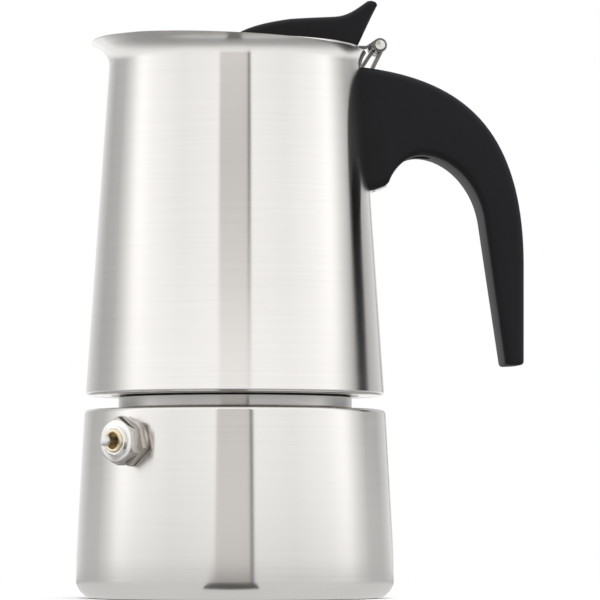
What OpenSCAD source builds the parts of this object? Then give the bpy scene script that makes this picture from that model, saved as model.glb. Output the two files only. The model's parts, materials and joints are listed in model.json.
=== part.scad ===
// Stovetop moka pot. Origin at the centre of the underside of the boiler,
// +Z up, handle along +X, pouring lip along -X. Millimetres.

/* [Boiler] */
// Radius of the boiler near its foot
boiler_r = 50; // [46:0.5:60]
// How much the boiler radius shrinks from foot to shoulder
boiler_taper = 2.5; // [0:0.1:5]
// Height of the flat top of the boiler
boiler_h = 59.2; // [50:0.1:72]
// Radius of the rounded bottom edge
boiler_edge_r = 5.8; // [3:0.1:8]
// Sheet thickness of the boiler
boiler_wall = 1.2; // [0.8:0.1:1.6]
// Radius of the plain part of the neck
neck_r = 36.8; // [34:0.1:39]
// Height of the neck above the top of the boiler
neck_h = 15.8; // [13:0.1:20]

/* [Thread] */
// Rise of the jug in one turn
thread_pitch = 3; // [2.6:0.1:3.6]
// Height of the thread ridges
thread_depth = 1.2; // [0.8:0.1:1.4]
// Radial gap between a ridge and the wall it faces
thread_gap = 0.3; // [0.2:0.05:0.4]

/* [Filter] */
// Gap between the coffee basket and the neck
basket_gap = 0.4; // [0.2:0.1:3]
// Depth of the straight part of the coffee basket
basket_depth = 23; // [16:0.5:26]
// Sheet thickness of the funnel
funnel_wall = 0.7; // [0.5:0.1:1]
// Outside radius of the funnel stem
stem_r = 5; // [3.5:0.1:6.5]
// Gap between the end of the stem and the boiler floor
stem_gap = 6.5; // [4:0.5:10]
// Thickness of the rubber ring
gasket_t = 2.5; // [2:0.1:3.5]

/* [Jug] */
// Height of the jug from its bottom edge to the tip of the lip
jug_h = 112.3; // [95:0.1:135]
// Gap seen between boiler and jug
jug_gap = 4.4; // [3:0.1:6]
// Radius lost for each millimetre of height
jug_slope = 0.069; // [0.03:0.001:0.08]
// Sheet thickness of the jug
jug_wall = 0.8; // [0.6:0.1:1.2]
// How far the lip stands out from the wall
lip_out = 5.6; // [4.5:0.1:7]
// Steepness of the lip, from the vertical
lip_angle = 60; // [45:1:65]
// Fall of the rim from the lip to the hinge
rim_tilt = 2.3; // [0:0.1:3]
// Depth of the top of the column below the tip of the lip
column_drop = 17.7; // [14:0.1:50]

/* [Valve] */
// Depth of the valve axis below the top of the boiler
valve_drop = 10.5; // [10:0.1:24]
// Direction of the valve, from the handle
valve_angle = -138; // [-150:1:-100]
// Width across the flats of the front hexagon
valve_hex = 13; // [12:0.1:16]
// Radius of the threaded shank
shank_r = 5; // [4.6:0.1:5.4]
// Radius of the pin
pin_r = 1.05; // [0.8:0.05:1.2]

/* [Lid and knob] */
// Thickness of the lid sheet
lid_t = 0.8; // [0.6:0.1:1]
// Radius of the hinge pin
hinge_pin_r = 1.6; // [1.2:0.1:1.8]
// Width of the hinge
hinge_w = 13.6; // [11:0.2:18]
// Width of the knob
knob_w = 14; // [10:0.5:18]
// Height of the knob tip above the lid
knob_h = 15.35; // [12:0.05:20]

/* [Handle] */
// Width of the handle
handle_w = 20; // [16:0.5:26]
// Reach of the grip from the jug wall
handle_reach = 51.4; // [44:0.1:62]
// Length of the handle from its top to its tip
handle_drop = 94.2; // [80:0.1:105]
// Thickness of the grip at its tip
tip_t = 6.2; // [5:0.1:9]
// Radius of the handle screw
screw_r = 2; // [1.5:0.1:2.2]

/* [Hidden] */
$fn = 96;

far = 200;              // larger than the whole pot, for cutting solids
lap = 1;                // how far cutters reach past what they cut
steel_colour = [0.80, 0.80, 0.80];
black_colour = [0.09, 0.09, 0.10];
brass_colour = [0.80, 0.68, 0.40];
rubber_colour = [0.85, 0.84, 0.80];

// Boiler
foot_z = 13;            // the wall is straight up to here
base_t = 1.6;
shoulder_r = 1.4;
neck_fillet = 1;
boiler_top_r = boiler_r - boiler_taper;
neck_top_z = boiler_h + neck_h;
neck_wall = 1.4;
jug_z = boiler_h + jug_gap;

// Thread: both ridges have the same section, half a pitch apart
thread_root_r = neck_r - thread_depth;
neck_in_r = thread_root_r - neck_wall;
collar_root_r = neck_r + thread_gap;
ridge_base = 0.6 * thread_pitch;
ridge_crest = 0.2 * thread_pitch;
ridge_bury = 0.5;       // depth of a ridge inside the wall that carries it
ridge_z = jug_z + 3;    // middle of the outside ridge where it starts
ridge_end_z = neck_top_z - 0.75 - ridge_base / 2;
ridge_turns = (ridge_end_z - ridge_z) / thread_pitch;
ridge_steps = 40;       // steps of a ridge in one turn
ridge_fade = 5;         // steps over which a ridge dies away

// Funnel, gasket and filter plate
rim_t = 0.8;
rim_r = thread_root_r - 0.2;
basket_r = neck_in_r - basket_gap - funnel_wall;
hole_border = 5.1;      // plain border round the holes of sieve and filter plate
basket_bottom_z = neck_top_z + rim_t - basket_depth;
cone_h = 12;
sieve_t = 0.6;
gasket_z = neck_top_z + rim_t;
gasket_r = thread_root_r + 0.1;
gasket_in_r = gasket_r - 5.3;
plate_t = 0.6;
plate_flange_r = gasket_r - 2.2;
seat_gap = 0.1;         // running gap between the filter plate and the jug
seat_z = gasket_z + gasket_t + plate_t + seat_gap;

// Jug
jug_base_r = boiler_top_r - 0.4;
jug_edge_r = 1;
rim_z = jug_z + jug_h;
lip_bend = 7;
lip_straight = (lip_out - lip_bend * (1 - cos(lip_angle))) / sin(lip_angle);
lip_h = lip_bend * sin(lip_angle) + lip_straight * cos(lip_angle)
    + jug_wall * sin(lip_angle);
lip_z = rim_z - lip_h;
lip_wall_r = jug_r(lip_z);
rim_out_r = lip_wall_r + lip_out;
rim_in_r = rim_out_r - jug_wall * cos(lip_angle);
rim_flat = 0.2;         // depth of the flat ground on the tip of the lip
collar_r = collar_root_r + 2.1;
collar_z = jug_z + 0.3;
recess_r = gasket_r + 0.3;
web_t = 1.2;
floor_z = seat_z + web_t;
floor_t = 1;
column_base_r = 7.5;
column_top_r = 5.6;
column_wall = 0.8;
cap_lap = 8;
cap_h = 17;
cap_wall = 0.7;
column_top_z = rim_z - column_drop - cap_h + cap_lap;

// Valve, measured outwards from the wall along its axis
valve_z = boiler_h - valve_drop;
valve_wall_r = boiler_wall_r(valve_z);
locknut_h = 2;
washer_h = 0.5;
hex_from = washer_h + locknut_h;
hex_to = hex_from + 3.9;
boss_to = hex_to + 1.1;
shank_in = 9;
chamber_r = shank_r - 1.4;
chamber_from = -shank_in + 1.6;
seat_hole_r = 1.7;
bush_to = boss_to + 0.5;
bush_from = bush_to - 5.2;
bush_lip = 0.8;
bush_bore_r = chamber_r - 1.05;
poppet_from = chamber_from + 0.05;
poppet_t = 1.7;
pin_flange_t = 0.6;
pin_foot = poppet_from + poppet_t;
poppet_r = chamber_r - 0.7;
pin_to = boss_to + 4.2;
pin_head_h = 1.1;
pin_head_r = pin_r + 0.65;
spring_wire_r = 0.3;
spring_r = pin_r + 1.15;
spring_from = pin_foot + pin_flange_t + spring_wire_r + 0.05;
spring_to = bush_from - spring_wire_r - 0.05;
spring_turns = 7;

// Lid: it lies inside the lip and on the low side it clears the rim
lid_drop = 2.1;
lid_z = rim_z - lid_drop - lid_t;
lid_gap = 0.5;
lid_r = rim_in_r - (rim_z - lid_z) * tan(lip_angle) - lid_gap;
skirt_r = lip_wall_r - jug_wall - 0.7;
skirt_h = 3;
notch_r = 11;
notch_in = 4.8;
lid_top_z = lid_z + lid_t;

// Hinge: pin axis, knuckles and strips
leaf_t = 0.65;
knuckle_r = hinge_pin_r + leaf_t;
hinge_fit = 0.06;
hinge_gap = 3.5;        // between the knuckles and the edge of the lid
hinge_rise = 0.95;
hinge_x = lid_r + hinge_gap + knuckle_r;
hinge_z = lid_top_z + hinge_rise;
middle_w = 0.44 * hinge_w;
knuckle_gap = 0.3;
leaf_rise = 35;
leaf_x = hinge_x - 19.3;
bracket_t = 1;

// Knob
knob_from_x = hinge_x - 48.7;
knob_to_x = hinge_x - 8.1;
knob_screw_x = [hinge_x - 39, hinge_x - 14];
knob_screw_r = 1.4;
leaf_pocket = leaf_t + 0.1;

// Handle, from the point where its top meets the jug wall
handle_top_z = lid_z - 5.4;
handle_x = jug_r(handle_top_z);
handle_out_x = handle_x + handle_reach;
foot_drop = 39.2;
foot_low_z = handle_top_z - foot_drop;
arch_x = handle_x + 18.7;
arch_z = handle_top_z - 27.8;
arch_fall = 9.7;
shoulder_t = 12.6;
shoulder_drop = 49.2;
bend_z = handle_top_z - 61.5;
tip_z = handle_top_z - handle_drop;
tip_round = 1;
foot_x = handle_x + 8;
tongue_z = arch_z + 12;
tongue_t = 2;
tongue_w = 8;
tongue_out = 6;
strip_t = 1.5;
foot_plate_t = 0.9;
head_r = 3.4;
head_h = 2.4;
recess_depth = 4;
washer_t = 0.6;
screw_fit = 0.15;

function boiler_wall_r(z) =
    boiler_r - boiler_taper * max(0, z - foot_z) / (boiler_h - foot_z);
function jug_r(z) = jug_base_r - jug_slope * (z - jug_z);

// Points of an arc about c, from angle a to angle b
function arc(c, r, a, b, n = 8) =
    [for (i = [0:n]) c + r * [cos(a + (b - a) * i / n), sin(a + (b - a) * i / n)]];

// Points of a cubic curve, without its first point
function curve(a, b, c, d, n = 10) =
    [for (i = [1:n]) let (t = i / n, s = 1 - t)
        s * s * s * a + 3 * s * s * t * b + 3 * s * t * t * c + t * t * t * d];

// A closed solid swept up a helix; each step has its own section of [radius, height]
module helix(sections, pitch, steps, inward = false) {
    n = len(sections) - 1;
    m = len(sections[0]);
    points = [for (i = [0:n]) for (p = sections[i])
        [p[0] * cos(i * 360 / steps), p[0] * sin(i * 360 / steps), p[1] + pitch * i / steps]];
    first = [for (k = [0:m - 1]) m - 1 - k];
    last = [for (k = [0:m - 1]) n * m + k];
    sides = [for (i = [0:n - 1]) for (k = [0:m - 1])
        let (a = i * m + k, b = i * m + (k + 1) % m)
        for (f = [[a, b, b + m], [a, b + m, a + m]]) f];
    faces = concat([first], sides, [last]);
    polyhedron(points, [for (f = faces) inward ? [for (k = [len(f) - 1:-1:0]) f[k]] : f]);
}

// A thread ridge that stands on a wall of radius r and dies away at both ends
module thread_ridge(r, z, side) {
    n = round(ridge_turns * ridge_steps);
    grow = (ridge_base - ridge_crest) / thread_depth / 2;
    sections = [for (i = [0:n])
        let (fade = min(1, i / ridge_fade, (n - i) / ridge_fade),
            height = thread_depth * fade - 0.2 * (1 - fade),
            foot = ridge_base / 2 + grow * ridge_bury,
            tip = ridge_base / 2 - grow * height)
        [[r - side * ridge_bury, z - foot], [r + side * height, z - tip],
         [r + side * height, z + tip], [r - side * ridge_bury, z + foot]]];
    helix(sections, thread_pitch, ridge_steps, side < 0);
}

// A flat strip of even thickness through points in the XZ plane, w wide along Y
module strip(points, t, w) {
    rotate([90, 0, 0])
        linear_extrude(w, center = true) {
            for (i = [0:len(points) - 2]) {
                step = points[i + 1] - points[i];
                translate(points[i])
                    rotate(atan2(step[1], step[0]))
                        translate([0, -t / 2])
                            square([norm(step), t]);
            }
            for (p = points) translate(p) circle(t / 2, $fn = 24);
        }
}

// An outline in the XZ plane, w wide along Y
module slab(w) {
    rotate([90, 0, 0]) linear_extrude(w, center = true) children();
}

// Rings of small holes out to radius reach, six more in each ring
module holes(rings, reach, r, z, h) {
    for (k = [1:rings])
        for (i = [0:6 * k - 1])
            rotate(i * 360 / (6 * k))
                translate([k * reach / rings, 0, z - lap])
                    cylinder(h = h + 2 * lap, r = r, $fn = 16);
}

module tube(h, r, bore) {
    difference() {
        cylinder(h = h, r = r);
        translate([0, 0, -lap]) cylinder(h = h + 2 * lap, r = bore);
    }
}

// ---- Boiler ----

// Half section of the boiler pulled in by t, up to height top
function boiler_outline(t, base, top, throat) =
    let (edge = boiler_edge_r - t, inner = boiler_r - t, high = boiler_top_r - t,
        bend = max(shoulder_r - t, 0.3), shelf = boiler_h - t, turn = neck_fillet + t)
    concat([[0, base]],
        arc([inner - edge, base + edge], edge, -90, 0),
        [[inner, foot_z]],
        arc([high - bend, shelf - bend], bend, 0, 90, 4),
        arc([throat + turn, shelf + turn], turn, 270, 180, 4),
        [[throat, top], [0, top]]);

module boiler_solid() {
    rotate_extrude() polygon(boiler_outline(0, 0, jug_z - 0.6, neck_r));
}

module boiler_cavity() {
    rotate_extrude()
        polygon(boiler_outline(boiler_wall, base_t, neck_top_z + lap, neck_in_r));
}

module at_valve(h = 0) {
    rotate(valve_angle)
        translate([valve_wall_r + h, 0, valve_z])
            rotate([0, 90, 0]) children();
}

module boiler_shell() {
    color(steel_colour)
    difference() {
        union() {
            boiler_solid();
            rotate_extrude()
                polygon([[0, jug_z - 1], [neck_r, jug_z - 0.6],
                    [thread_root_r, jug_z - 0.6 + thread_depth],
                    [thread_root_r, neck_top_z], [0, neck_top_z]]);
            thread_ridge(thread_root_r, ridge_z, 1);
        }
        boiler_cavity();
        at_valve(-shank_in) cylinder(h = 2 * shank_in, r = shank_r);
    }
}

module funnel_basket() {
    out_r = basket_r + funnel_wall;
    low = basket_bottom_z;
    color(steel_colour)
    rotate_extrude()
        polygon([[stem_r, low - cone_h], [stem_r + funnel_wall, low - cone_h],
            [out_r, low], [out_r, neck_top_z], [rim_r, neck_top_z],
            [rim_r, gasket_z], [basket_r, gasket_z], [basket_r, low],
            [stem_r, low - cone_h + funnel_wall]]);
}

module funnel_sieve() {
    color(steel_colour)
    difference() {
        translate([0, 0, basket_bottom_z]) cylinder(h = sieve_t, r = basket_r);
        holes(4, basket_r - hole_border, 0.9, basket_bottom_z, sieve_t);
    }
}

module funnel_stem() {
    from = base_t + stem_gap;
    color(steel_colour)
    translate([0, 0, from])
        tube(basket_bottom_z - cone_h + funnel_wall - from, stem_r, stem_r - funnel_wall);
}

// ---- Safety valve ----

module hexagon(across, h) {
    cylinder(h = h, r = across / 2 / cos(30), $fn = 6);
}

module valve_boss() {
    color(steel_colour)
    intersection() {
        at_valve(-6) tube(6, shank_r + 2.5, shank_r);
        boiler_cavity();
    }
}

module valve_body() {
    corner = valve_hex / 2 / cos(30);
    color(steel_colour)
    difference() {
        union() {
            at_valve(-shank_in) cylinder(h = shank_in + hex_from, r = shank_r);
            intersection() {
                at_valve(hex_from) hexagon(valve_hex, hex_to - hex_from);
                at_valve(hex_from)
                    cylinder(h = hex_to - hex_from, r1 = corner + 3.2, r2 = corner - 0.7);
            }
            at_valve(hex_to) cylinder(h = boss_to - hex_to, r = chamber_r + 1);
        }
        at_valve(chamber_from) cylinder(h = far, r = chamber_r);
        at_valve(-shank_in - lap) cylinder(h = far, r = seat_hole_r);
    }
}

module valve_locknut() {
    color(steel_colour)
    difference() {
        at_valve(washer_h) rotate(14) hexagon(valve_hex + 1, locknut_h);
        at_valve(-lap) cylinder(h = far, r = shank_r);
    }
}

module valve_washer() {
    color(rubber_colour)
    difference() {
        at_valve(-2) tube(2 + washer_h, shank_r + 1.3, shank_r);
        boiler_solid($fn = 240);
    }
}

module valve_bush() {
    color(brass_colour)
    difference() {
        at_valve(bush_from) cylinder(h = bush_to - bush_from, r = chamber_r);
        at_valve(bush_from - lap) cylinder(h = far, r = pin_r + 0.3);
        at_valve(bush_from + bush_lip) cylinder(h = far, r = bush_bore_r);
    }
}

module valve_spring() {
    sides = 6;
    steps = 12;
    wire = [for (k = [0:sides - 1])
        [spring_r + spring_wire_r * cos(k * 360 / sides),
         spring_wire_r * sin(k * 360 / sides)]];
    color(steel_colour)
    at_valve(spring_from)
        helix([for (i = [0:spring_turns * steps]) wire],
            (spring_to - spring_from) / spring_turns, steps);
}

module valve_pin() {
    color(steel_colour)
    union() {
        at_valve(pin_foot) cylinder(h = pin_to - pin_foot, r = pin_r);
        at_valve(pin_foot) cylinder(h = pin_flange_t, r = poppet_r);
        at_valve(pin_to - pin_head_h) cylinder(h = pin_head_h, r = pin_head_r);
    }
}

module valve_poppet() {
    color(rubber_colour)
    at_valve(poppet_from) cylinder(h = poppet_t, r = poppet_r);
}

// ---- Between boiler and jug ----

module gasket() {
    color(rubber_colour)
    translate([0, 0, gasket_z]) tube(gasket_t, gasket_r, gasket_in_r);
}

module filter_plate() {
    top = gasket_z + gasket_t;
    low = gasket_z + 0.8;
    wall_r = gasket_in_r - 0.1;
    color(steel_colour)
    difference() {
        rotate_extrude()
            polygon([[0, low], [wall_r, low], [wall_r, top], [plate_flange_r, top],
                [plate_flange_r, top + plate_t], [wall_r - plate_t, top + plate_t],
                [wall_r - plate_t, low + plate_t], [0, low + plate_t]]);
        holes(4, wall_r - plate_t - hole_border, 0.8, low, plate_t);
    }
}

// ---- Jug ----

// Outer face of the jug, or its inner face when t is the wall, from the bottom edge up
function jug_outline(t, from) =
    let (bend = lip_bend + t, c = [lip_wall_r + lip_bend, lip_z],
        end = c + bend * [-cos(lip_angle), sin(lip_angle)],
        run = lip_straight * [sin(lip_angle), cos(lip_angle)])
    concat([[jug_r(from) - t, from]], arc(c, bend, 180, 180 - lip_angle), [end + run]);

// Everything above the tilted plane of the rim
module above_rim() {
    translate([-rim_in_r, 0, rim_z - rim_flat])
        rotate([0, rim_tilt, 0])
            translate([-far / 2, -far, 0]) cube([2 * far, 2 * far, far]);
}

module jug_solid() {
    rotate_extrude()
        polygon(concat([[0, jug_z], [jug_base_r - jug_edge_r, jug_z]],
            jug_outline(0, jug_z + jug_edge_r), [[0, rim_z]]));
}

module jug_shell() {
    outer = jug_outline(0, jug_z + jug_edge_r);
    inner = jug_outline(jug_wall, jug_z + jug_edge_r);
    back = [for (i = [len(inner) - 1:-1:0]) inner[i]];
    edge = arc([jug_base_r - jug_edge_r, jug_z + jug_edge_r], jug_edge_r, -90, -8, 4);
    color(steel_colour)
    difference() {
        rotate_extrude()
            polygon(concat([[collar_r, jug_z]], edge, outer, back,
                [[jug_base_r - jug_edge_r, jug_z + jug_wall], [collar_r, jug_z + jug_wall]]));
        above_rim();
    }
}

module jug_floor() {
    low_r = jug_r(floor_z) - jug_wall;
    high_r = jug_r(floor_z + floor_t) - jug_wall;
    color(steel_colour)
    rotate_extrude()
        polygon([[column_base_r, floor_z], [low_r, floor_z],
            [high_r, floor_z + floor_t], [column_base_r, floor_z + floor_t]]);
}

module thread_collar() {
    recess_z = neck_top_z - 0.6;
    color(steel_colour)
    union() {
        rotate_extrude()
            polygon([[collar_root_r, collar_z], [collar_r, collar_z],
                [collar_r, floor_z], [gasket_in_r + 1, floor_z],
                [gasket_in_r + 1, seat_z], [recess_r, seat_z],
                [recess_r, recess_z], [collar_root_r, recess_z - 1]]);
        thread_ridge(collar_root_r, ridge_z - thread_pitch / 2, -1);
    }
}

module column() {
    taper_z = floor_z + 0.7 * (column_top_z - floor_z);
    color(steel_colour)
    rotate_extrude()
        polygon([[column_base_r - column_wall, floor_z], [column_base_r, floor_z],
            [column_base_r, floor_z + floor_t], [column_top_r, taper_z],
            [column_top_r, column_top_z], [column_top_r - column_wall, column_top_z],
            [column_top_r - column_wall, taper_z]]);
}

module column_cap() {
    low = column_top_z - cap_lap;
    out_r = column_top_r + cap_wall;
    color(steel_colour)
    difference() {
        translate([0, 0, low])
            rotate_extrude()
                polygon(concat([[column_top_r, 0], [out_r, 0]],
                    arc([out_r - 3, cap_h - 3], 3, 0, 90, 6),
                    [[0, cap_h], [0, cap_h - cap_wall]],
                    [[out_r - 3, cap_h - cap_wall], [column_top_r, cap_h - 3]]));
        translate([-far / 2, -3, column_top_z + 0.5]) cube([far, 6, 4.5]);
    }
}

// ---- Handle and brackets ----

module foot_line(t, out) {
    slope = (arch_fall - 1.7) / (foot_x - handle_x) * 0.3;
    in_z = foot_low_z - slope * handle_x;
    out_z = foot_low_z + slope * (out - handle_x);
    polygon([[0, in_z], [out, out_z], [out, out_z + t], [0, in_z + t]]);
}

module handle_bracket() {
    color(steel_colour)
    difference() {
        union() {
            slab(tongue_w)
                polygon([[0, tongue_z], [arch_x + tongue_out, tongue_z],
                    [arch_x + tongue_out, tongue_z + tongue_t], [0, tongue_z + tongue_t]]);
            slab(tongue_w)
                polygon([[0, foot_low_z], [jug_r(foot_low_z) + strip_t, foot_low_z],
                    [jug_r(tongue_z) + strip_t, tongue_z + tongue_t], [0, tongue_z + tongue_t]]);
            translate([0, 0, -foot_plate_t]) slab(0.7 * handle_w)
                foot_line(foot_plate_t, foot_x - 0.5);
        }
        jug_solid();
        translate([arch_x, 0, tongue_z - lap]) cylinder(h = 10, r = screw_r);
    }
}

module hinge_bracket() {
    low_z = handle_top_z - 8;
    leg = bracket_t / 2;
    bed = 0.25;             // the wall strip is dished by this to lie on the round wall
    out = leg - bed;
    pin = [hinge_x, hinge_z];
    ring_r = knuckle_r - leg;
    color(steel_colour)
    difference() {
        union() {
            strip([[jug_r(low_z) + out, low_z], [jug_r(lip_z) + out, lip_z],
                pin + (knuckle_r + 2.5) * [cos(229), sin(229)],
                pin + ring_r * [cos(218), sin(218)]], bracket_t, middle_w);
            strip([[handle_x + 2, low_z], [handle_x + 3.6, handle_top_z],
                pin + [ring_r, 0]], bracket_t, middle_w);
            translate([hinge_x, middle_w / 2, hinge_z])
                rotate([90, 0, 0]) cylinder(h = middle_w, r = knuckle_r);
        }
        jug_solid();
        hinge_bore(hinge_pin_r);
    }
}

module hinge_bore(r) {
    translate([hinge_x, far / 2, hinge_z]) rotate([90, 0, 0]) cylinder(h = far, r = r);
}

module hinge_pin() {
    length = hinge_w + 0.8;
    color(steel_colour)
    translate([hinge_x, length / 2, hinge_z])
        rotate([90, 0, 0]) cylinder(h = length, r = hinge_pin_r);
}

module handle_outline() {
    top = [0, handle_top_z];
    in_x = handle_out_x - tip_t;
    outer_start = [handle_x, handle_top_z];
    outer_end = [handle_out_x, bend_z];
    inner_shoulder = [handle_out_x - shoulder_t, handle_top_z - shoulder_drop];
    arch_top = [arch_x, arch_z];
    arch_foot = [foot_x, arch_z - arch_fall];
    polygon(concat([[0, foot_low_z], top, outer_start],
        curve(outer_start, outer_start + [0.56 * handle_reach, -3.4],
            outer_end + [-0.3, 45.5], outer_end, 14),
        arc([handle_out_x - tip_round, tip_z + tip_round], tip_round, 0, -90, 5),
        arc([in_x + tip_round, tip_z + tip_round], tip_round, -90, -175, 5),
        [inner_shoulder],
        curve(inner_shoulder, inner_shoulder + [-1.6, 12.6],
            arch_top + [9.2, 0], arch_top, 10),
        curve(arch_top, arch_top - [5.3, 0], arch_foot + [1.6, 4.7], arch_foot, 8),
        [[handle_x, foot_low_z]]));
}

module handle() {
    color(black_colour)
    difference() {
        slab(handle_w) handle_outline();
        jug_solid();
        // sockets for the tongue, the wall strip and the hinge legs
        translate([0, -tongue_w / 2 - 0.1, tongue_z - 0.1])
            cube([arch_x + tongue_out + 0.2, tongue_w + 0.2, tongue_t + 0.2]);
        translate([0, -tongue_w / 2 - 0.1, 0])
            cube([jug_r(foot_low_z) + strip_t + 0.1, tongue_w + 0.2,
                tongue_z + tongue_t + 0.1]);
        translate([0, -middle_w / 2 - 0.1, handle_top_z - 9])
            cube([handle_x + 4.4, middle_w + 0.2, far]);
        // foot plate and screw
        translate([0, 0, -foot_plate_t]) slab(far) foot_line(foot_plate_t, foot_x - 0.5);
        translate([arch_x, 0, arch_z - far / 2])
            cylinder(h = far / 2 + recess_depth, r = head_r + 0.2);
        translate([arch_x, 0, arch_z]) cylinder(h = 18, r = screw_r + screw_fit);
    }
}

module handle_screw() {
    seat = arch_z + recess_depth - washer_t;
    color(steel_colour)
    difference() {
        union() {
            translate([arch_x, 0, seat - head_h]) cylinder(h = head_h, r = head_r);
            translate([arch_x, 0, seat - lap]) cylinder(h = 13 + lap, r = screw_r);
        }
        translate([arch_x - 0.5, -head_r - lap, seat - head_h - lap])
            cube([1, 2 * head_r + 2 * lap, 1 + lap]);
    }
}

module handle_screw_washer() {
    color(steel_colour)
    translate([arch_x, 0, arch_z + recess_depth - washer_t])
        tube(washer_t, head_r, screw_r + 0.1);
}

// ---- Lid ----

module knob_holes(r, h) {
    for (x = knob_screw_x)
        translate([x, 0, lid_z - lap]) cylinder(h = lap + h, r = r, $fn = 32);
}

module lid_plate() {
    color(steel_colour)
    difference() {
        union() {
            translate([0, 0, lid_z]) cylinder(h = lid_t, r = lid_r);
            translate([0, 0, lid_z - skirt_h]) tube(skirt_h + lid_t, skirt_r, skirt_r - lid_t);
        }
        translate([-skirt_r + notch_in - lap - notch_r, 0, lid_z - far / 2])
            cylinder(h = far, r = notch_r);
        knob_holes(knob_screw_r + 0.1, far);
    }
}

module lid_hinge_leaf() {
    mid = lid_top_z + leaf_t / 2;
    touch = [hinge_x, hinge_z]
        + (knuckle_r - leaf_t / 2) * [-sin(leaf_rise), cos(leaf_rise)];
    bend_x = touch[0] - (touch[1] - mid) / tan(leaf_rise);
    color(steel_colour)
    difference() {
        union() {
            strip([[leaf_x, mid], [bend_x, mid], touch], leaf_t, hinge_w);
            translate([hinge_x, hinge_w / 2, hinge_z])
                rotate([90, 0, 0]) cylinder(h = hinge_w, r = knuckle_r);
        }
        hinge_bore(hinge_pin_r + hinge_fit);
        translate([hinge_x - knuckle_r - 0.9, -middle_w / 2 - knuckle_gap, 0])
            cube([20, middle_w + 2 * knuckle_gap, far]);
        knob_holes(knob_screw_r + 0.1, far);
    }
}

module knob_outline() {
    nose = [knob_from_x, lid_top_z];
    crest = [knob_from_x + 20.4, lid_top_z + knob_h - 6.3];
    rise = [knob_from_x + 34.9, lid_top_z + knob_h - 5.4];
    peak = [knob_from_x + 45.5, lid_top_z + knob_h];
    tip = [knob_from_x + 47.8, lid_top_z + knob_h - 1.9];
    polygon(concat([nose],
        curve(nose, nose + [1, 0.5 * knob_h - 2.8], crest - [10.8, 1.5], crest),
        curve(rise, rise + [4.7, 0.4], peak - [2.7, 1.7], peak, 6),
        curve(peak, peak + [0.8, 0.5], tip + [0, 1.3], tip, 4),
        [[knob_to_x + 0.8, lid_top_z]]));
}

module knob() {
    color(black_colour)
    difference() {
        slab(knob_w) knob_outline();
        translate([leaf_x - 0.6, -far / 2, lid_top_z - lap])
            cube([far, far, lap + leaf_pocket]);
        knob_holes(knob_screw_r, lap + 6.5);
    }
}

module knob_screws() {
    color(steel_colour)
    for (x = knob_screw_x)
        translate([x, 0, lid_z]) {
            translate([0, 0, -1.4]) cylinder(h = 1.4, r = 2.6, $fn = 48);
            translate([0, 0, -0.5]) cylinder(h = 6.2, r = knob_screw_r, $fn = 32);
        }
}

boiler_shell();
funnel_basket();
funnel_sieve();
funnel_stem();
valve_boss();
valve_body();
valve_locknut();
valve_washer();
valve_bush();
valve_spring();
valve_pin();
valve_poppet();
gasket();
filter_plate();
jug_shell();
jug_floor();
thread_collar();
column();
column_cap();
handle_bracket();
hinge_bracket();
hinge_pin();
handle();
handle_screw();
handle_screw_washer();
lid_plate();
lid_hinge_leaf();
knob();
knob_screws();
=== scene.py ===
"""Stovetop moka pot: its visible pieces, their finishes, the studio and the camera."""

import json
import math

import bmesh
import bpy
from mathutils import Matrix, Vector

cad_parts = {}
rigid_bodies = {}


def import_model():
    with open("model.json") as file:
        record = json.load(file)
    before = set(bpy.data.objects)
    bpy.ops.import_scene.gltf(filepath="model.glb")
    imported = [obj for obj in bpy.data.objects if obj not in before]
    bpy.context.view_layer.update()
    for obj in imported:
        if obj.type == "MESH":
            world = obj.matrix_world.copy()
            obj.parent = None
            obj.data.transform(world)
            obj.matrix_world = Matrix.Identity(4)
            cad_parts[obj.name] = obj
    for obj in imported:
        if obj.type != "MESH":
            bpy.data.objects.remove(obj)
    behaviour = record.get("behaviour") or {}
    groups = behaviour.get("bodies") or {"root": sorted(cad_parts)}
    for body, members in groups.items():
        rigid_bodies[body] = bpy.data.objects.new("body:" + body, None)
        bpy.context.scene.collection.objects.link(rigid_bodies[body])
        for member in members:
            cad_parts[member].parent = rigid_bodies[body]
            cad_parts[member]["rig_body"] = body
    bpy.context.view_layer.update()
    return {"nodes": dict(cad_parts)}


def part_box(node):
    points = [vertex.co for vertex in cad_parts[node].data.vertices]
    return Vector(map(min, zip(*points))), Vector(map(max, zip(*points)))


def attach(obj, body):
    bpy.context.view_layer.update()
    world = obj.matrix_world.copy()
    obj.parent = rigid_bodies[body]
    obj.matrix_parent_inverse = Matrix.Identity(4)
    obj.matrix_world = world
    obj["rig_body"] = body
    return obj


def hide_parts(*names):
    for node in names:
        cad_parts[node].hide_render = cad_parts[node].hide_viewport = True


MM = 0.001
TURN = 2 * math.pi

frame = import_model()
NODES = frame["nodes"]

# ---- Sizes in millimetres, read from the frame where it has them ----


def box_mm(node):
    """Lowest and highest corner of a CAD node."""
    low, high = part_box(node)
    return low / MM, high / MM


_, boiler_high = box_mm("boiler_shell")
jug_low, _ = box_mm("jug_shell")
lid_low, lid_high = box_mm("lid_plate")
handle_low, handle_high = box_mm("handle")
knob_low, knob_high = box_mm("knob")
screw_low, _ = box_mm("handle_screw")
valve_low, valve_high = box_mm("valve_body")

BOILER_R = boiler_high.x
BOILER_TAPER = 2.5
BOILER_WALL = 1.2
BOILER_EDGE_R = 5.8
FOOT_Z = 13
NECK_TOP = boiler_high.z
NECK_R = 36.8
SHOULDER_Z = NECK_TOP - 15.8
SHOULDER_R = 1.4
NECK_FILLET = 1.0
THREAD_ROOT_R = 35.6
THREAD_PITCH = 3.0
THREAD_DEPTH = 1.2
THREAD_TURNS = 2.25
NECK_IN_R = 34.2
BASE_IN_Z = 1.6
BASE_RING = 9  # from the base's rounded edge in to a ring that keeps its shading even

NECK_SHADE_R = 37.5  # painted shade darkens the brushed steel within this radius and below this height, which is the boiler's neck between boiler and jug, and its inside how much of the colour the painted shade takes away
NECK_SHADE_TOP = 70  # which is the boiler's neck and inside
NECK_SHADE_BY = 0.42  # how much of the colour is lost there

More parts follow.
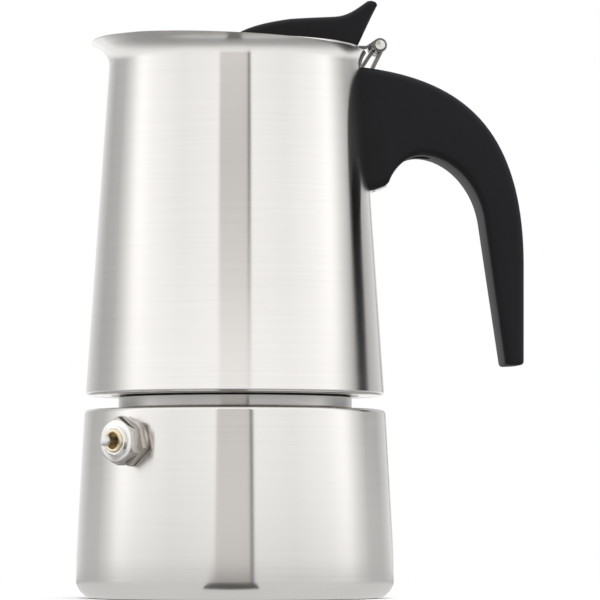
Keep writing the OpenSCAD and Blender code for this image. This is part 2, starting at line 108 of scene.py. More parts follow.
JUG_WALL = 0.8
JUG_SLOPE = 0.069
JUG_Z = jug_low.z
JUG_BASE_R = BOILER_R - BOILER_TAPER - 0.4
COLLAR_R = 39.2
LIP_BEND = 7.0
LIP_ANGLE = math.radians(60)
LIP_OUT = 5.6
LIP_RUN = (LIP_OUT - LIP_BEND * (1 - math.cos(LIP_ANGLE))) / math.sin(LIP_ANGLE)
RIM_TILT = math.radians(2.3)
RIM_Z = JUG_Z + 112.3
RIM_FLAT = 0.2
LIP_Z = RIM_Z - (LIP_BEND + JUG_WALL) * math.sin(LIP_ANGLE) - LIP_RUN * math.cos(LIP_ANGLE)
LID_GAP = 0.7

VALVE_ANGLE = math.radians(-138)
VALVE_Z = (valve_low.z + valve_high.z) / 2
VALVE_FLATS_R = 6.5

RINGS = 192  # steps of a full turn in the big turned pieces


def jug_r(z):
    """Outer radius of the jug wall at height z."""
    return JUG_BASE_R - JUG_SLOPE * (z - JUG_Z)


# ---- Shader maths ----


class Value:
    """A shader socket that adds Math nodes when Python does sums with it."""

    def __init__(self, finish, socket):
        self.finish = finish
        self.socket = socket

    def _math(self, operation, a, b):
        return self.finish.node("ShaderNodeMath", {"operation": operation}, {0: a, 1: b})

    def __add__(self, other):
        return self._math("ADD", self, other)

    def __radd__(self, other):
        return self._math("ADD", other, self)

    def __sub__(self, other):
        return self._math("SUBTRACT", self, other)

    def __rsub__(self, other):
        return self._math("SUBTRACT", other, self)

    def __mul__(self, other):
        return self._math("MULTIPLY", self, other)

    def __rmul__(self, other):
        return self._math("MULTIPLY", other, self)

    def __truediv__(self, other):
        return self._math("DIVIDE", self, other)

    def __pow__(self, other):
        return self._math("POWER", self, other)


class Finish:
    """A material or a world, whose nodes all come from node()."""

    def __init__(self, name, world=False):
        self.data = (bpy.data.worlds if world else bpy.data.materials).new(name)
        self.data.use_nodes = True
        self.tree = self.data.node_tree
        self.tree.nodes.clear()

    def node(self, kind, settings=None, inputs=None, output=0):
        """Adds a node: its settings first, then the values or links of its sockets."""
        made = self.tree.nodes.new(kind)
        for key, value in (settings or {}).items():
            if key == "stops":
                self._stops(made.color_ramp, value)
            else:
                setattr(made, key, value)
        for key, value in (inputs or {}).items():
            if isinstance(value, Value):
                self.tree.links.new(value.socket, made.inputs[key])
            else:
                made.inputs[key].default_value = value
        if not made.outputs:
            return made
        return Value(self, made.outputs[output])

    @staticmethod
    def _stops(ramp, stops):
        while len(ramp.elements) < len(stops):
            ramp.elements.new(1.0)
        for element, (position, shade) in zip(ramp.elements, stops):
            element.position = position
            element.color = shade if isinstance(shade, tuple) else (shade, shade, shade, 1)

    def point(self):
        """Object coordinates, in metres."""
        return self.node("ShaderNodeTexCoord", output=3)

    def parts(self, vector):
        """The x, y and z of a vector, as three values."""
        split = self.node("ShaderNodeSeparateXYZ", {}, {0: vector})
        return [Value(self, socket) for socket in split.socket.node.outputs]

    def times(self, colour, shade):
        """A colour made darker or lighter by a shade."""
        return self.node("ShaderNodeMix", {"data_type": "RGBA", "blend_type": "MULTIPLY"},
                         {0: 1.0, 6: colour, 7: shade}, output=2)

    def ramp(self, stops, factor):
        """A shade that follows the stops, each a position and a shade, as the factor grows."""
        return self.node("ShaderNodeValToRGB", {"stops": stops}, {0: factor})

    def up_to(self, limit, fade, length):
        """1 up to a limit and 0 beyond it, in millimetres under 100; the length is in metres."""
        stops = [(0.0, 1.0), (limit / 100, 1.0), ((limit + fade) / 100, 0.0), (1.0, 0.0)]
        return self.ramp(stops, 10 * length)

    def stretched(self, vector, scale):
        """The coordinates, scaled by three numbers."""
        return self.node("ShaderNodeMapping", {}, {"Vector": vector, "Scale": scale})

    def noise(self, vector, scale, detail=3.0, rough=0.5):
        return self.node("ShaderNodeTexNoise", {},
                         {"Vector": vector, "Scale": scale, "Detail": detail, "Roughness": rough})

    def between(self, factor, low, high):
        """A colour between two, by a factor."""
        return self.node("ShaderNodeMix", {"data_type": "RGBA"},
                         {0: factor, 6: (*low, 1), 7: (*high, 1)}, output=2)

    def bump(self, height, strength, distance):
        return self.node("ShaderNodeBump", {},
                         {"Height": height, "Strength": strength, "Distance": distance})

    def surface(self, **inputs):
        """Ends the material in one Principled BSDF with these inputs."""
        named = {key.replace("_", " ").title().replace("Ior", "IOR"): value
                 for key, value in inputs.items()}
        shader = self.node("ShaderNodeBsdfPrincipled", {}, named)
        self.node("ShaderNodeOutputMaterial", {}, {"Surface": shader})
        return self.data

    def glow(self, colour):
        """Ends the material in plain light of this colour."""
        shader = self.node("ShaderNodeEmission", {}, {"Color": colour, "Strength": 1.0})
        self.node("ShaderNodeOutputMaterial", {}, {"Surface": shader})
        return self.data


# ---- Finishes ----


def turned_coordinates(finish, along, across):
    """Coordinates that run slowly round the pot and fast up it or out from its axis."""
    x, y, z = finish.parts(finish.point())
    radius = (x * x + y * y) ** 0.5
    return finish.node("ShaderNodeCombineXYZ", {},
                       {0: x * along, 1: y * along, 2: (z + radius) * across})


def brushed_steel():
    """Stainless steel brushed round the pot with fine even lines, with painted shade on the neck and
    inside.
    """
    f = Finish("brushed_steel")
    fine = f.noise(turned_coordinates(f, 60, 6000), 1.0, 2.0, 0.6)
    broad = f.noise(turned_coordinates(f, 14, 1500), 1.0, 3.0, 0.6)
    cloud = f.noise(f.point(), 26, 3.0, 0.5)
    shade = 0.4 * broad + 0.2 * fine + 0.4 * cloud
    colour = f.between(shade, (0.755, 0.737, 0.712), (0.895, 0.876, 0.850))
    x, y, z = f.parts(f.point())
    # painted shade: the steel's colour is darkened on the neck between boiler and jug, and inside
    # the boiler
    within = f.up_to(NECK_SHADE_R, 1, (x * x + y * y) ** 0.5)
    below = f.up_to(NECK_SHADE_TOP, 2, z)
    colour = f.times(colour, 1 - NECK_SHADE_BY * within * below)
    roughness = 0.15 + 0.03 * broad + 0.03 * cloud
    lines = f.bump(0.6 * broad + 0.4 * fine, 0.06, 0.00003)
    return f.surface(base_color=colour, metallic=1.0, roughness=roughness,
                     anisotropic=1.0, anisotropic_rotation=0.25, normal=lines)


def spun_steel():
    """The same steel on pieces inside the pot and on pressed plates, less even."""
    f = Finish("spun_steel")
    fine = f.noise(turned_coordinates(f, 25, 5200), 1.0, 2.0, 0.6)
    cloud = f.noise(f.point(), 60, 4.0, 0.6)
    colour = f.between(0.6 * fine + 0.4 * cloud, (0.62, 0.61, 0.60), (0.84, 0.83, 0.82))
    return f.surface(base_color=colour, metallic=1.0, roughness=0.22 + 0.14 * cloud,
                     normal=f.bump(fine, 0.12, 0.00008))


def polished_steel():
    """Bright machined steel of the pins, the valve's spring, the screws and the handle's bracket."""
    f = Finish("polished_steel")
    scratch = f.noise(f.stretched(f.point(), (300, 300, 2600)), 1.0, 3.0, 0.6)
    cloud = f.noise(f.point(), 350, 3.0, 0.6)
    colour = f.between(cloud, (0.66, 0.64, 0.62), (0.82, 0.805, 0.785))
    return f.surface(base_color=colour, metallic=1.0, roughness=0.10 + 0.14 * scratch,
                     normal=f.bump(scratch, 0.08, 0.00003))


def valve_steel():
    """Steel of the valve: bright turned faces, duller milled flats round the hexagon."""
    f = Finish("valve_steel")
    x, y, z = f.parts(f.point())
    across = x * math.sin(VALVE_ANGLE) - y * math.cos(VALVE_ANGLE)
    lift = z - VALVE_Z * MM
    off_axis = (across * across + lift * lift) ** 0.5 / (VALVE_FLATS_R * MM)
    flats = f.ramp([(0.0, 0.0), (0.955, 0.0), (0.985, 1.0)], off_axis)
    scratch = f.noise(f.point(), 1500, 3.0, 0.6)
    cloud = f.noise(f.point(), 350, 3.0, 0.6)
    turned_shade = f.between(cloud, (0.80, 0.785, 0.765), (0.94, 0.93, 0.91))
    milled_shade = f.between(cloud, (0.47, 0.44, 0.41), (0.66, 0.63, 0.59))
    colour = f.node("ShaderNodeMix", {"data_type": "RGBA"},
                    {0: flats, 6: turned_shade, 7: milled_shade}, output=2)
    return f.surface(base_color=colour, metallic=1.0, roughness=0.13 + 0.14 * scratch,
                     normal=f.bump(scratch, 0.08, 0.00003))


def hinge_steel_painted_shade():
    """Steel of the hinge strip, darkened all over with painted shade."""
    f = Finish("hinge_steel_painted_shade")
    scratch = f.noise(f.stretched(f.point(), (300, 300, 2600)), 1.0, 3.0, 0.6)
    cloud = f.noise(f.point(), 420, 3.0, 0.6)
    # painted shade: the colour is made very dark to stand in for the shade on and round the hinge
    colour = f.between(cloud, (0.06, 0.057, 0.053), (0.30, 0.29, 0.275))
    return f.surface(base_color=colour, metallic=1.0, roughness=0.10 + 0.12 * scratch,
                     normal=f.bump(scratch, 0.08, 0.00003))


def turned_brass():
    """Pale brass ring of the valve."""
    f = Finish("turned_brass")
    scratch = f.noise(f.point(), 2400, 3.0, 0.6)
    cloud = f.noise(f.point(), 420, 3.0, 0.6)
    colour = f.between(cloud, (0.78, 0.66, 0.46), (0.93, 0.84, 0.66))
    return f.surface(base_color=colour, metallic=1.0, roughness=0.22 + 0.14 * scratch,
                     normal=f.bump(scratch, 0.1, 0.00003))


def silicone_rubber():
    """Off-white silicone of the seals."""
    f = Finish("silicone_rubber")
    grain = f.noise(f.point(), 1600, 3.0, 0.6)
    cloud = f.noise(f.point(), 130, 3.0, 0.5)
    colour = f.between(cloud, (0.70, 0.68, 0.60), (0.82, 0.80, 0.74))
    return f.surface(base_color=colour, roughness=0.5 + 0.18 * cloud,
                     subsurface_weight=0.08, normal=f.bump(grain, 0.2, 0.00006))


def black_moulding():
    """Satin black heat-resistant plastic with a very fine grain."""
    f = Finish("black_moulding")
    grain = f.noise(f.point(), 2600, 3.0, 0.65)
    speck = f.noise(f.point(), 900, 2.0, 0.5)
    rub = f.noise(f.point(), 40, 4.0, 0.55)
    colour = f.between(0.6 * rub + 0.4 * speck, (0.0045, 0.0045, 0.0055), (0.0095, 0.0095, 0.0115))
    return f.surface(base_color=colour, roughness=0.40 + 0.10 * rub + 0.06 * speck,
                     specular_ior_level=0.16, normal=f.bump(grain, 0.2, 0.00005))


BRUSHED = brushed_steel()
SPUN = spun_steel()
POLISHED = polished_steel()
VALVE = valve_steel()
HINGE = hinge_steel_painted_shade()
BRASS = turned_brass()
SILICONE = silicone_rubber()
BLACK = black_moulding()

# ---- Mesh helpers ----


def arc(centre, radius, start, end, steps=8):
    """Points [r, z] of an arc, angles in degrees."""
    angles = [math.radians(start + (end - start) * i / steps) for i in range(steps + 1)]
    return [(centre[0] + radius * math.cos(a), centre[1] + radius * math.sin(a)) for a in angles]


def curve(a, b, c, d, steps):
    """Points of a cubic curve from a to d, without its first point."""
    points = []
    for i in range(1, steps + 1):
        t = i / steps
        s = 1 - t
        weights = (s ** 3, 3 * s * s * t, 3 * s * t * t, t ** 3)
        points.append(tuple(sum(w * p[k] for w, p in zip(weights, (a, b, c, d)))
                            for k in range(2)))
    return points


def add_piece(name, bm, node, material, sharp=35):
    """Makes the piece that stands for a CAD node, in metres, riding on the node's body."""
    bmesh.ops.transform(bm, matrix=Matrix.Scale(MM, 4), verts=bm.verts)
    mesh = bpy.data.meshes.new(name)
    bm.to_mesh(mesh)
    bm.free()
    mesh.shade_smooth()
    mesh.set_sharp_from_angle(angle=math.radians(sharp))
    mesh.materials.append(material)
    piece = bpy.data.objects.new(name, mesh)
    bpy.context.scene.collection.objects.link(piece)
    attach(piece, NODES[node]["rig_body"])
    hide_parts(node)
    return piece


def turned(points, steps=RINGS, closed=True):
    """A bmesh turned round +Z from a half section of [r, z] points."""
    bm = bmesh.new()
    verts = [bm.verts.new((max(r, 0), 0, z)) for r, z in points]
    pairs = list(zip(verts, verts[1:])) + ([(verts[-1], verts[0])] if closed else [])
    edges = [bm.edges.new(pair) for pair in pairs]
    bmesh.ops.spin(bm, geom=verts + edges, cent=(0, 0, 0), axis=(0, 0, 1),
                   angle=TURN, steps=steps, use_merge=True)
    bmesh.ops.remove_doubles(bm, verts=bm.verts, dist=1e-4)
    bmesh.ops.recalc_face_normals(bm, faces=bm.faces)
    return bm


def rounded_section(outer, inner, width, fillet, steps=5):
    """Points of a rounded rectangle that spans outer to inner and is width wide along Y."""
    outer, inner = Vector((outer[0], 0, outer[1])), Vector((inner[0], 0, inner[1]))
    depth = (outer - inner).length
    along = (outer - inner).normalized()
    middle = (outer + inner) / 2
    r = min(fillet, 0.46 * depth, 0.46 * width)
    points = []
    for quarter, (su, sv) in enumerate(((1, 1), (-1, 1), (-1, -1), (1, -1))):
        for i in range(steps + 1):
            a = math.radians(90 * (quarter + i / steps))
            u = su * (depth / 2 - r) + r * math.cos(a)
            v = sv * (width / 2 - r) + r * math.sin(a)
            points.append(middle + along * u + Vector((0, v, 0)))
    return points


def lofted(sections):
    """A closed bmesh through sections of equal point counts."""
    bm = bmesh.new()
    loops = []
    for section in sections:
        verts = [bm.verts.new(p) for p in section]
        loops.append([bm.edges.new(pair) for pair in zip(verts, verts[1:] + verts[:1])])
    for a, b in zip(loops, loops[1:]):
        bmesh.ops.bridge_loops(bm, edges=a + b)
    for end in (loops[0], loops[-1]):
        bmesh.ops.contextual_create(bm, geom=end)
    bmesh.ops.recalc_face_normals(bm, faces=bm.faces)
    return bm


def cut_away(piece, cutter_bm):
    """Cuts a millimetre bmesh out of a finished piece."""
    bmesh.ops.transform(cutter_bm, matrix=Matrix.Scale(MM, 4), verts=cutter_bm.verts)
    mesh = bpy.data.meshes.new("cutter")
    cutter_bm.to_mesh(mesh)
    cutter_bm.free()
    cutter = bpy.data.objects.new("cutter", mesh)
    bpy.context.scene.collection.objects.link(cutter)
    cut = piece.modifiers.new("cut", "BOOLEAN")
    cut.object = cutter
    cut.solver = "EXACT"
    graph = bpy.context.evaluated_depsgraph_get()
    result = bpy.data.meshes.new_from_object(piece.evaluated_get(graph))
    piece.modifiers.clear()
    piece.data = result
    bpy.data.objects.remove(cutter)


def rod(x, y, low, high, radius, segments=48):
    """A plain upright cylinder, as a cutter."""
    bm = bmesh.new()
    middle = Matrix.Translation((x, y, (low + high) / 2))
    bmesh.ops.create_cone(bm, cap_ends=True, segments=segments, radius1=radius,
                          radius2=radius, depth=high - low, matrix=middle)
    return bm


def softened(node, material, edge=0.15, sharp=35, angle=28):
    """The CAD node's own shape with its edges broken, as a finished piece."""
    bm = bmesh.new()
    bm.from_mesh(NODES[node].data)
    bmesh.ops.transform(bm, matrix=Matrix.Scale(1 / MM, 4), verts=bm.verts)
    bmesh.ops.remove_doubles(bm, verts=bm.verts, dist=1e-3)
    bmesh.ops.dissolve_limit(bm, angle_limit=math.radians(1.0), verts=bm.verts, edges=bm.edges)
    crisp = [e for e in bm.edges
             if len(e.link_faces) == 2 and e.calc_face_angle(0) > math.radians(angle)]
    bmesh.ops.bevel(bm, geom=crisp, offset=edge, offset_type="OFFSET", segments=2,
                    profile=0.5, affect="EDGES", material=-1, clamp_overlap=True)
    return add_piece(node + "_piece", bm, node, material, sharp)


# ---- Boiler ----


def boiler_section():
    """Half section of the boiler: up the outside, over the neck and down the inside."""
    top_r = BOILER_R - BOILER_TAPER
    edge = BOILER_EDGE_R
    outside = [(0, 0), (BOILER_R - edge - BASE_RING, 0)]
    outside += arc((BOILER_R - edge, edge), edge, -90, 0, 12)
    outside += [(BOILER_R, FOOT_Z)]
    outside += arc((top_r - SHOULDER_R, SHOULDER_Z - SHOULDER_R), SHOULDER_R, 3, 90, 8)
    outside += arc((NECK_R + NECK_FILLET, SHOULDER_Z + NECK_FILLET), NECK_FILLET, 270, 180, 8)
    outside += [(NECK_R, JUG_Z - 0.6), (THREAD_ROOT_R, JUG_Z + 0.6)]
    outside += arc((THREAD_ROOT_R - 0.4, NECK_TOP - 0.4), 0.4, 0, 90, 4)
    inside = arc((NECK_IN_R + 0.3, NECK_TOP - 0.3), 0.3, 90, 180, 4)
    wall = BOILER_WALL
    inside += [(NECK_IN_R, SHOULDER_Z), (NECK_IN_R + 1, SHOULDER_Z - wall)]
    inside += [(top_r - wall - 1, SHOULDER_Z - wall), (top_r - wall, SHOULDER_Z - wall - 1)]
    inside += [(BOILER_R - wall, FOOT_Z)]
    inside += arc((BOILER_R - edge, edge + 0.4), edge - wall, 0, -90, 8)
    inside += [(0, BASE_IN_Z)]
    return outside + inside


def add_ridge(bm, radius, height, z, side):
    """A helical thread ridge on a wall of this radius; side is 1 outwards, -1 inwards."""
    steps_per_turn = 72
    steps = int(THREAD_TURNS * steps_per_turn)
    half = (0.3, 0.9, 1.15)
    radii = (radius + side * height, radius, radius - side * 0.5)
    ring = [(radii[2], -half[2]), (radii[1], -half[1]), (radii[0], -half[0]),
            (radii[0], half[0]), (radii[1], half[1]), (radii[2], half[2])]
    verts = [bm.verts.new((r, 0, z + dz)) for r, dz in ring]
    edges = [bm.edges.new(pair) for pair in zip(verts, verts[1:] + verts[:1])]
    rise = Vector((0, 0, THREAD_PITCH / steps_per_turn))
    start = bmesh.ops.contextual_create(bm, geom=edges)["faces"]
    bmesh.ops.spin(bm, geom=start, cent=(0, 0, 0), axis=(0, 0, 1), dvec=rise,
                   angle=TURN * THREAD_TURNS, steps=steps, use_merge=False)


def boiler():
    bm = turned(boiler_section())
    add_ridge(bm, THREAD_ROOT_R, THREAD_DEPTH, JUG_Z + 3, 1)
    bmesh.ops.recalc_face_normals(bm, faces=bm.faces)
    add_piece("boiler_shell_piece", bm, "boiler_shell", BRUSHED)
    softened("funnel_basket", SPUN, 0.1)
    for node in ("funnel_sieve", "funnel_stem", "valve_boss"):
        softened(node, SPUN, 0.08)


# ---- Safety valve ----


def valve():
    softened("valve_body", VALVE, 0.16, 30, 20)
    softened("valve_locknut", VALVE, 0.14, 30)
    softened("valve_pin", POLISHED, 0.16, 30)
    softened("valve_spring", POLISHED, 0.0, 80)
    softened("valve_bush", BRASS, 0.14, 30)
    softened("valve_washer", SILICONE, 0.06, 30)
    softened("valve_poppet", SILICONE, 0.15, 30)


# ---- Between boiler and jug ----


def seal():
    softened("gasket", SILICONE, 0.3)
    softened("filter_plate", SPUN, 0.08)


# ---- Jug ----


def lip(offset):
    """The wall and lip at an offset inwards from the outer face, from the bottom edge up."""
    low = JUG_Z + 1
    bend = arc((jug_r(LIP_Z) + LIP_BEND, LIP_Z), LIP_BEND + offset,
               180, 180 - math.degrees(LIP_ANGLE), 16)
    tip = (bend[-1][0] + LIP_RUN * math.sin(LIP_ANGLE), bend[-1][1] + LIP_RUN * math.cos(LIP_ANGLE))
    return [(jug_r(low) - offset, low)] + bend + [tip]


def jug_shell():
    outer = lip(0)
    inner = lip(JUG_WALL)
    edge = arc((JUG_BASE_R - 1, JUG_Z + 1), 1, -90, -4, 6)
    section = [(COLLAR_R, JUG_Z)] + edge + outer + inner[::-1]
    section += [(JUG_BASE_R - 1, JUG_Z + JUG_WALL), (COLLAR_R, JUG_Z + JUG_WALL)]
    bm = turned(section)
    low_side = Vector((-inner[-1][0], 0, RIM_Z - RIM_FLAT))
    normal = Vector((math.sin(RIM_TILT), 0, math.cos(RIM_TILT)))
    bmesh.ops.bisect_plane(bm, geom=bm.verts[:] + bm.edges[:] + bm.faces[:],
                           plane_co=low_side, plane_no=normal, clear_outer=True)
    rim = [e for e in bm.edges if len(e.link_faces) == 1]
    bmesh.ops.bridge_loops(bm, edges=rim)
    bmesh.ops.recalc_face_normals(bm, faces=bm.faces)
    crisp = [e for e in bm.edges if e.calc_length() > 0 and len(e.link_faces) == 2
             and e.verts[0].co.z > RIM_Z - 8 and e.calc_face_angle(0) > math.radians(30)]
    bmesh.ops.bevel(bm, geom=crisp, offset=0.22, offset_type="OFFSET", segments=3,
                    profile=0.5, affect="EDGES", material=-1, clamp_overlap=True)
    add_piece("jug_shell_piece", bm, "jug_shell", BRUSHED, 40)


def jug_inside():
    softened("jug_floor", SPUN, 0.1)
    softened("thread_collar", SPUN, 0.0, 30)
    softened("column", SPUN, 0.12)
    softened("column_cap", SPUN, 0.12)


def jug_fittings():
    softened("handle_bracket", POLISHED, 0.12)
    softened("hinge_bracket", HINGE, 0.12)
    softened("hinge_pin", POLISHED, 0.2)
    softened("handle_screw", POLISHED, 0.2)
    softened("handle_screw_washer", POLISHED, 0.1)


# ---- Handle ----

HANDLE_X = jug_r(handle_high.z)
HANDLE_TOP = handle_high.z
HANDLE_OUT = handle_high.x
HANDLE_TIP = handle_low.z
HANDLE_W = handle_high.y - handle_low.y
GRIP_TIP_T = 6.2
GRIP_FILLET = 2.6
TIP_R = 1.1
TIP_WIDTH = 0.83  # the grip's width at its tip, as a share of its widest
ARCH = (HANDLE_X + 18.7, HANDLE_TOP - 27.8)
FOOT = (HANDLE_X + 8, ARCH[1] - 9.7)
FOOT_ROOT_Z = HANDLE_TOP - 39.2


def walk(points, count):
    """Count + 1 points evenly spaced along a chain of points."""
    lengths = [math.dist(a, b) for a, b in zip(points, points[1:])]
    total = sum(lengths)
    result = [points[0]]
    for i in range(1, count):
        want = total * i / count
        k = 0
        while want > lengths[k]:
            want -= lengths[k]
            k += 1
        t = want / lengths[k]
        a, b = points[k], points[k + 1]
        result.append((a[0] + (b[0] - a[0]) * t, a[1] + (b[1] - a[1]) * t))
    return result + [points[-1]]


def handle_edges():
    """Matching points down the outer and the inner edge of the handle."""
    reach = HANDLE_OUT - HANDLE_X
    bend_z = HANDLE_TOP - 61.5
    root = (HANDLE_X, HANDLE_TOP)
    outer = [root] + curve(root, (HANDLE_X + 0.56 * reach, HANDLE_TOP - 3.4),
                           (HANDLE_OUT - 0.3, bend_z + 45.5), (HANDLE_OUT, bend_z), 60)
    shoulder = (HANDLE_OUT - 12.6, HANDLE_TOP - 49.2)
    inner_foot = [(jug_r(FOOT_ROOT_Z), FOOT_ROOT_Z), (FOOT[0] - 1.2, FOOT[1] - 0.2)]
    inner_foot += [(FOOT[0], FOOT[1] + 0.9)]
    inner_arch = [inner_foot[-1]] + curve(inner_foot[-1], (FOOT[0] + 1.4, FOOT[1] + 5.0),
                                          (ARCH[0] - 5.3, ARCH[1]), ARCH, 16)
    inner_grip = [ARCH] + curve(ARCH, (ARCH[0] + 9.2, ARCH[1]),
                                (shoulder[0] - 1.6, shoulder[1] + 12.6), shoulder, 24)
    over_arch = 15
    over_shoulder = 51
    outer_end = (HANDLE_OUT, HANDLE_TIP + 1.3)
    inner_end = (HANDLE_OUT - GRIP_TIP_T, HANDLE_TIP + 1.1)
    spans = [
        (outer[:over_arch // 3 + 1], inner_foot, 8),
        (outer[over_arch // 3:over_arch + 1], inner_arch, 12),
        (outer[over_arch:over_shoulder + 1], inner_grip, 22),
        (outer[over_shoulder:] + [outer_end], [shoulder, inner_end], 16),
    ]
    pairs = [(outer[0], inner_foot[0])]
    for outside, inside, count in spans:
        pairs += list(zip(walk(outside, count)[1:], walk(inside, count)[1:]))
    return pairs


def handle():
    pairs = handle_edges()
    sections = []
    for i, (outside, inside) in enumerate(pairs):
        t = i / (len(pairs) - 1)
        width = HANDLE_W * (0.95 + 0.05 * math.sin(math.pi * min(t * 1.6, 1)) - 0.12 * t ** 3)
        sections.append(rounded_section(outside, inside, width, GRIP_FILLET))
    outside, inside = pairs[-1]
    for k in range(1, 6):
        a = math.radians(90 * k / 5)
        down = TIP_R * math.sin(a)
        narrow = TIP_R * (1 - math.cos(a))
        sections.append(rounded_section(
            (outside[0] - narrow, outside[1] - down), (inside[0] + narrow, inside[1] - down),
            TIP_WIDTH * HANDLE_W - 2 * narrow, GRIP_FILLET))
    for p in sections[0]:
        p.x = math.sqrt(max(jug_r(p.z) ** 2 - p.y ** 2, 0)) - 0.15
    piece = add_piece("handle_piece", lofted(sections), "handle", BLACK, 50)
    cut_away(piece, rod(ARCH[0], 0, ARCH[1] - 12, screw_low.z + 2.4, 3.6))
    piece.data.shade_smooth()
    piece.data.set_sharp_from_angle(angle=math.radians(50))


# ---- Lid ----


def lid():
    top = lid_high.z
    skirt_low = lid_low.z
    thick = JUG_WALL
    r = lid_high.y
    skirt_r = jug_r(LIP_Z) - JUG_WALL - LID_GAP
    section = [(0, top)] + arc((r - 0.35, top - 0.35), 0.35, 90, 0, 4)
    section += arc((r - 0.3, top - thick + 0.3), 0.3, 0, -90, 4)
    section += [(skirt_r + 0.3, top - thick), (skirt_r, top - thick - 0.3)]
    section += arc((skirt_r - 0.3, skirt_low + 0.3), 0.3, 0, -90, 3)
    section += arc((skirt_r - thick + 0.3, skirt_low + 0.3), 0.3, -90, -180, 3)
    section += [(skirt_r - thick, top - thick), (0, top - thick)]
    piece = add_piece("lid_plate_piece", turned(section), "lid_plate", BRUSHED)
    notch_r = 11
    cut_away(piece, rod(3.8 - skirt_r - notch_r, 0, skirt_low - 5, top + 5, notch_r, 96))
    piece.data.shade_smooth()
    piece.data.set_sharp_from_angle(angle=math.radians(35))
    softened("lid_hinge_leaf", HINGE, 0.12)
    softened("knob_screws", POLISHED, 0.2)


def knob():
    base = knob_low.z
    x = knob_low.x
    height = knob_high.z - base
    width = knob_high.y - knob_low.y
    nose = (x, base)
    crest = (x + 20.4, base + height - 6.3)
    rise = (x + 34.9, base + height - 5.4)
    peak = (x + 45.5, base + height)
    tip = (knob_high.x, base + height - 1.9)
    heel = (x + 41.4, base)
    top = [nose] + curve(nose, (x + 1, base + 0.5 * height - 2.8),
                         (crest[0] - 10.8, crest[1] - 1.5), crest, 12)
    top += curve(crest, (crest[0] + 5, crest[1] + 0.4), (rise[0] - 5, rise[1] - 0.3), rise, 8)
    top += curve(rise, (rise[0] + 4.7, rise[1] + 0.4), (peak[0] - 2.7, peak[1] - 1.7), peak, 9)
    top += [(tip[0] - 0.5, tip[1] + 1.1)]
    count = 40
    along_top = walk(top, count)
    along_base = walk([nose, heel], 30) + walk([heel, tip], 10)[1:]
    sections = []
    for i in range(1, count + 1):
        t = i / count
        taper = 0.74 + 0.26 * math.sin(math.pi / 2 * min(1, t * 1.7))
        sections.append(rounded_section(along_top[i], along_base[i], width * taper, 2.2))
    add_piece("knob_piece", lofted(sections), "knob", BLACK, 60)


# ---- Studio ----

CAMERA_SIDE = -6.0  # azimuth of the camera, in degrees
GAP_SIDE = -1.5  # how far the grey gap is turned from the camera, in degrees
CAMERA_DISTANCE = 1350
CAMERA_HEIGHT = 23
VIEW_WIDTH = 189.3  # width of the view at the pot, in millimetres
AIM_RIGHT = 20.45
AIM_HEIGHT = 94.0
STUDIO_R = 9.0  # radius of the floor, in metres; the backdrop stands just inside it
CARD_R = 0.9  # radius of the cards on the floor, in metres


def camera():
    a = math.radians(CAMERA_SIDE)
    right = Vector((math.cos(a), math.sin(a), 0))
    place = Vector((math.sin(a), -math.cos(a), 0)) * CAMERA_DISTANCE
    place.z = CAMERA_HEIGHT
    aim = right * AIM_RIGHT + Vector((0, 0, AIM_HEIGHT))
    data = bpy.data.cameras.new("camera")
    data.sensor_width = 36
    data.lens = data.sensor_width * CAMERA_DISTANCE / VIEW_WIDTH
    data.clip_start = 0.05
    data.clip_end = 50
    made = bpy.data.objects.new("camera", data)
    made.location = place * MM
    made.rotation_mode = "QUATERNION"
    made.rotation_quaternion = (aim - place).to_track_quat("-Z", "Y")
    bpy.context.scene.collection.objects.link(made)
    bpy.context.scene.camera = made


def light_tent():
    """A white tent, grey at the camera and at each side, with a thin dark seam near the camera."""
    f = Finish("light_tent", world=True)
    x, y, z = f.parts(f.node("ShaderNodeTexCoord"))
    level = (x * x + y * y) ** 0.5 + 0.001
    a = math.radians(CAMERA_SIDE + GAP_SIDE)
    towards = (x * math.sin(a) - y * math.cos(a)) / level
    aside = (x * math.cos(a) + y * math.sin(a)) / level
    turn = f.node("ShaderNodeMath", {"operation": "ARCCOSINE"}, {0: towards}) / math.pi
    round_tent = f.ramp([
        (0.0, (0.76, 0.735, 0.715, 1)), (0.070, (0.74, 0.71, 0.69, 1)), (0.074, 1.08),
        (0.12, 1.04), (0.26, 0.98), (0.42, 1.12), (0.50, 1.28), (0.53, 1.22), (0.585, 0.86),
        (0.655, 0.52), (0.76, 0.46), (0.87, 0.70), (0.93, 0.82), (1.0, 0.84)], turn)
    seam = f.ramp([(0.0, 1.0), (0.212, 1.0), (0.220, 0.04), (0.256, 0.04), (0.264, 1.0),
                   (1.0, 1.0)], aside)
    in_gap = f.ramp([(0.0, 1.0), (0.066, 1.0), (0.074, 0.0), (1.0, 0.0)], turn)
    gap_dims = f.ramp([(0.0, 1.25), (0.11, 1.22), (0.14, 0.80), (0.25, 0.80), (1.0, 0.80)], z)
    ring = f.times(f.times(round_tent, seam), in_gap * (gap_dims - 1) + 1)
    overhead = f.ramp([(0.0, 0.0), (0.45, 0.0), (0.8, 1.0)], z)
    glow = f.node("ShaderNodeMix", {"data_type": "RGBA"},
                  {0: overhead, 6: ring, 7: (1.1, 1.1, 1.1, 1)}, output=2)
    back = f.node("ShaderNodeBackground", {}, {"Color": glow, "Strength": 1.0})
    f.node("ShaderNodeOutputWorld", {}, {"Surface": back})
    bpy.context.scene.world = f.data


def staged(name, bm, material, unseen=()):
    """Adds a thing of the studio, in metres, which the named kinds of ray don't see."""
    mesh = bpy.data.meshes.new(name)
    bm.to_mesh(mesh)
    bm.free()
    mesh.materials.append(material)
    made = bpy.data.objects.new(name, mesh)
    for ray in unseen:
        setattr(made, "visible_" + ray, False)
    bpy.context.scene.collection.objects.link(made)


